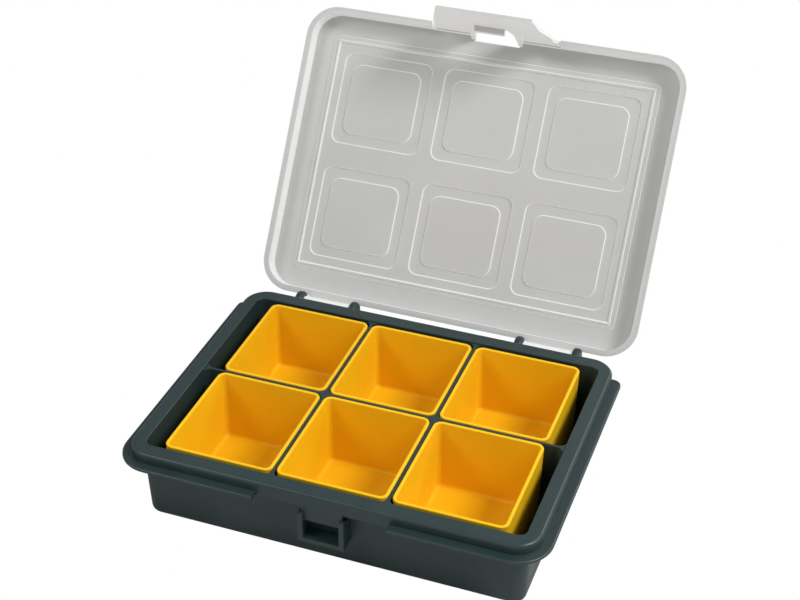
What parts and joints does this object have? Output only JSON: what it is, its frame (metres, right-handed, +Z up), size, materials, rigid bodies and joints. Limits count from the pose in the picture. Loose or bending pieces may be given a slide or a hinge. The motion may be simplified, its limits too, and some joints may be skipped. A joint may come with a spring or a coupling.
{
  "type": "compartment organizer",
  "caption": "Shallow moulded tray with rows of lift-out bins, a translucent hinged lid with stepped pads and a front latch flap.",
  "frame": {"origin": "centre of the tray's underside, on the surface it rests on", "axes": "+Z up, +X to the right seen from the latch, -Y towards the latch, +Y towards the hinge"},
  "size_m": [0.2036, 0.2541, 0.1785],
  "materials": {
    "tray_plastic": "dark green-grey moulded polypropylene, satin",
    "bin_plastic": "amber yellow moulded polystyrene, semi-gloss",
    "lid_plastic": "milky translucent polypropylene, frosted"
  },
  "bodies": {
    "tray": {"base_tray": "tray_plastic"},
    "lid_body": {"lid": "lid_plastic"},
    "latch_body": {"latch_flap": "lid_plastic"},
    "bin_body_front_left": {"bin_front_left": "bin_plastic"},
    "bin_body_front_middle": {"bin_front_middle": "bin_plastic"},
    "bin_body_front_right": {"bin_front_right": "bin_plastic"},
    "bin_body_rear_left": {"bin_rear_left": "bin_plastic"},
    "bin_body_rear_middle": {"bin_rear_middle": "bin_plastic"},
    "bin_body_rear_right": {"bin_rear_right": "bin_plastic"}
  },
  "joints": [
    {"name": "lid_hinge", "type": "hinge", "parent": "tray", "child": "lid_body", "pos_m": [0, 0.0802, 0.03155], "axis": [-1, 0, 0], "range_deg": [-123.3, 0]},
    {"name": "latch_hinge", "type": "hinge", "parent": "lid_body", "child": "latch_body", "pos_m": [0, 0.17652, 0.15277], "axis": [-1, 0, 0], "range_deg": [-3, 87]},
    {"name": "lift_front_left", "type": "slide", "parent": "tray", "child": "bin_body_front_left", "axis": [0, 0, 1], "range_m": [0, 0.045]},
    {"name": "lift_front_middle", "type": "slide", "parent": "tray", "child": "bin_body_front_middle", "axis": [0, 0, 1], "range_m": [0, 0.045]},
    {"name": "lift_front_right", "type": "slide", "parent": "tray", "child": "bin_body_front_right", "axis": [0, 0, 1], "range_m": [0, 0.045]},
    {"name": "lift_rear_left", "type": "slide", "parent": "tray", "child": "bin_body_rear_left", "axis": [0, 0, 1], "range_m": [0, 0.045]},
    {"name": "lift_rear_middle", "type": "slide", "parent": "tray", "child": "bin_body_rear_middle", "axis": [0, 0, 1], "range_m": [0, 0.045]},
    {"name": "lift_rear_right", "type": "slide", "parent": "tray", "child": "bin_body_rear_right", "axis": [0, 0, 1], "range_m": [0, 0.045]}
  ]
}
